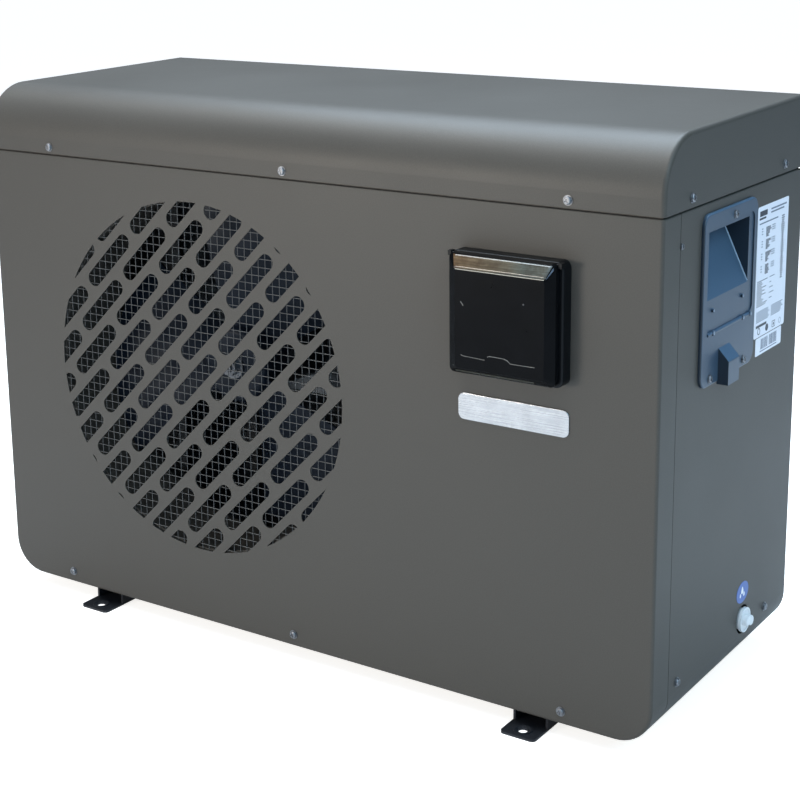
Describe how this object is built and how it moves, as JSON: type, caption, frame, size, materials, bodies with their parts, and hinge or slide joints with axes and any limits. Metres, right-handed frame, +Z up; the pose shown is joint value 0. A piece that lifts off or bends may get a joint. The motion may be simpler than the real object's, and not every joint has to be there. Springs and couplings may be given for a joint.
{
  "type": "pool heat pump",
  "caption": "Box-shaped pool heat pump with a slotted round fan outlet, flip-up control cover, side lift handles and rear water unions.",
  "frame": {"origin": "on the floor, at the centre of the four foot bolt holes", "axes": "+X along the front towards the control box side, +Y from the fan front to the coil at the back, +Z up"},
  "size_m": [1.0242, 0.505, 0.7208],
  "materials": {
    "coated": "fine-textured grey powder coat",
    "galvanised": "galvanised sheet",
    "guard_wire": "galvanised wire",
    "rear_guard_coat": "black powder coat",
    "fan_plastic": "moulded grey",
    "bright_steel": "zinc plated",
    "motor_paint": "satin black",
    "fin_aluminium": "thin fins",
    "copper": "drawn copper",
    "compressor_paint": "gloss black",
    "rubber_black": "matt",
    "exchanger_plastic": "moulded black",
    "union_grey": "grey PVC",
    "union_nut_grey": "dark grey PVC",
    "cap_white": "white moulded",
    "handle_plastic": "blue-grey moulded",
    "control_black": "black moulded",
    "cover_smoke": "black gloss",
    "display_black": "gloss",
    "keypad_grey": "matt",
    "button_grey": "soft key",
    "board_green": "coated board",
    "electrical_black": "moulded",
    "foot_steel": "dark coated steel",
    "label_white": "satin label",
    "label_blue": "satin label",
    "badge_bright": "bright bar"
  },
  "bodies": {
    "casing": {"accumulator": "compressor_paint", "cable_grommet": "rubber_black", "capacitor": "electrical_black", "casing_screws": "bright_steel", "circuit_board": "board_green", "coil_end_plates": "galvanised", "coil_fins": "fin_aluminium", "coil_headers": "copper", "coil_tubes": "copper", "compressor": "compressor_paint", "compressor_bolts": "bright_steel", "compressor_grommets": "rubber_black", "contactor": "electrical_black", "control_display": "display_black", "control_housing": "control_black", "control_keypad": "keypad_grey", "divider_plate": "galvanised", "drain_label": "label_blue", "drip_tray": "galvanised", "electrical_tray": "galvanised", "expansion_valve": "copper", "fan_motor": "motor_paint", "fan_shroud": "galvanised", "foot_bolts": "bright_steel", "four_way_valve": "copper", "front_badge": "badge_bright", "front_panel": "coated", "guard_mesh": "guard_wire", "handle_screws": "bright_steel", "inlet_stub": "union_grey", "inlet_tail": "union_grey", "left_foot": "foot_steel", "left_handle": "handle_plastic", "lid": "coated", "motor_bolts": "bright_steel", "motor_bracket": "galvanised", "outlet_stub": "union_grey", "outlet_tail": "union_grey", "rating_label": "label_white", "rear_guard": "rear_guard_coat", "rear_panel": "coated", "refrigerant_pipes": "copper", "right_foot": "foot_steel", "right_handle": "handle_plastic", "serial_label": "label_white", "side_rivets": "bright_steel", "terminal_block": "electrical_black", "water_exchanger": "exchanger_plastic", "wrap_panel": "coated"},
    "fan": {"fan_rotor": "fan_plastic", "fan_nut": "bright_steel", "fan_shaft": "bright_steel"},
    "control_cover": {"control_cover": "cover_smoke"},
    "drain_cap": {"drain_cap": "cap_white"},
    "inlet_nut": {"inlet_nut": "union_nut_grey"},
    "outlet_nut": {"outlet_nut": "union_nut_grey"},
    "button_1": {"button_1": "button_grey"},
    "button_2": {"button_2": "button_grey"},
    "button_3": {"button_3": "button_grey"},
    "button_4": {"button_4": "button_grey"}
  },
  "joints": [
    {"name": "fan_spin", "type": "hinge", "parent": "casing", "child": "fan", "pos_m": [-0.151, -0.1, 0.356], "axis": [0, -1, 0], "continuous": true},
    {"name": "cover_flip", "type": "hinge", "parent": "casing", "child": "control_cover", "pos_m": [0.32, -0.22, 0.572], "axis": [-1, 0, 0], "range_deg": [0, 90]},
    {"name": "drain_cap_turn", "type": "hinge", "parent": "casing", "child": "drain_cap", "pos_m": [0.5, 0.058, 0.084], "axis": [1, 0, 0], "continuous": true},
    {"name": "inlet_nut_turn", "type": "hinge", "parent": "casing", "child": "inlet_nut", "pos_m": [0.405, 0.22, 0.15], "axis": [0, 1, 0], "continuous": true},
    {"name": "outlet_nut_turn", "type": "hinge", "parent": "casing", "child": "outlet_nut", "pos_m": [0.405, 0.22, 0.37], "axis": [0, 1, 0], "continuous": true},
    {"name": "button_1_press", "type": "slide", "parent": "casing", "child": "button_1", "axis": [0, 1, 0], "range_m": [0, 0.0016], "stiffness_N_per_m": 900, "springref_m": -0.001},
    {"name": "button_2_press", "type": "slide", "parent": "casing", "child": "button_2", "axis": [0, 1, 0], "range_m": [0, 0.0016], "stiffness_N_per_m": 900, "springref_m": -0.001},
    {"name": "button_3_press", "type": "slide", "parent": "casing", "child": "button_3", "axis": [0, 1, 0], "range_m": [0, 0.0016], "stiffness_N_per_m": 900, "springref_m": -0.001},
    {"name": "button_4_press", "type": "slide", "parent": "casing", "child": "button_4", "axis": [0, 1, 0], "range_m": [0, 0.0016], "stiffness_N_per_m": 900, "springref_m": -0.001}
  ]
}
